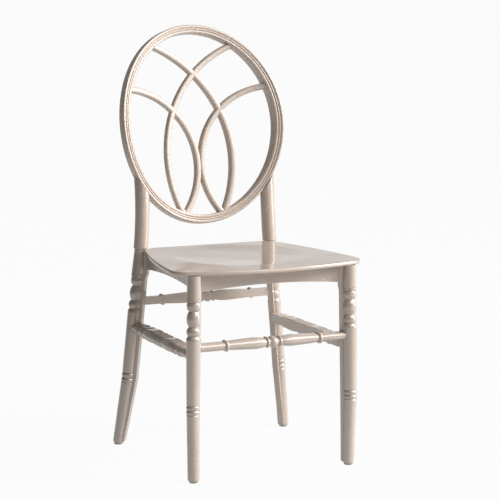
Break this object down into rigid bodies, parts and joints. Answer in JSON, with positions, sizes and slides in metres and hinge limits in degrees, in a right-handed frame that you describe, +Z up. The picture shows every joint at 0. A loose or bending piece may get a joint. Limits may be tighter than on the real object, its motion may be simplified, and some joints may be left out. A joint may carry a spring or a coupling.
{
  "type": "wedding chair",
  "caption": "Banquet chair with turned legs and stretchers, a thin glossy seat panel and an oval reeded back hoop filled with crossing tracery arcs",
  "frame": {"origin": "on the floor, under the middle of the chair's bounding box", "axes": "the chair faces -Y, +X is to the right of a person who looks at its front, +Z is up"},
  "size_m": [0.4452, 0.5016, 0.9418],
  "materials": {
    "shell": "glossy champagne pearl, moulded through",
    "block": "matt moulded",
    "glide": "matt moulded",
    "steel": "zinc plated",
    "insert": "turned",
    "dowel": "matt moulded"
  },
  "bodies": {
    "root": {"seat_panel": "shell", "back_hoop": "shell", "tracery": "shell", "left_post": "shell", "right_post": "shell", "front_left_leg": "shell", "front_right_leg": "shell", "rear_left_leg": "shell", "rear_right_leg": "shell", "front_apron": "shell", "rear_apron": "shell", "left_apron": "shell", "right_apron": "shell", "front_stretcher": "shell", "rear_stretcher": "shell", "left_stretcher": "shell", "right_stretcher": "shell", "front_left_corner_block": "block", "front_right_corner_block": "block", "rear_left_corner_block": "block", "rear_right_corner_block": "block", "front_left_glide": "glide", "front_right_glide": "glide", "rear_left_glide": "glide", "rear_right_glide": "glide", "leg_bolts": "steel", "seat_screws": "steel", "lock_screws": "steel", "leg_inserts": "insert", "hoop_dowels": "dowel"}
  },
  "joints": []
}
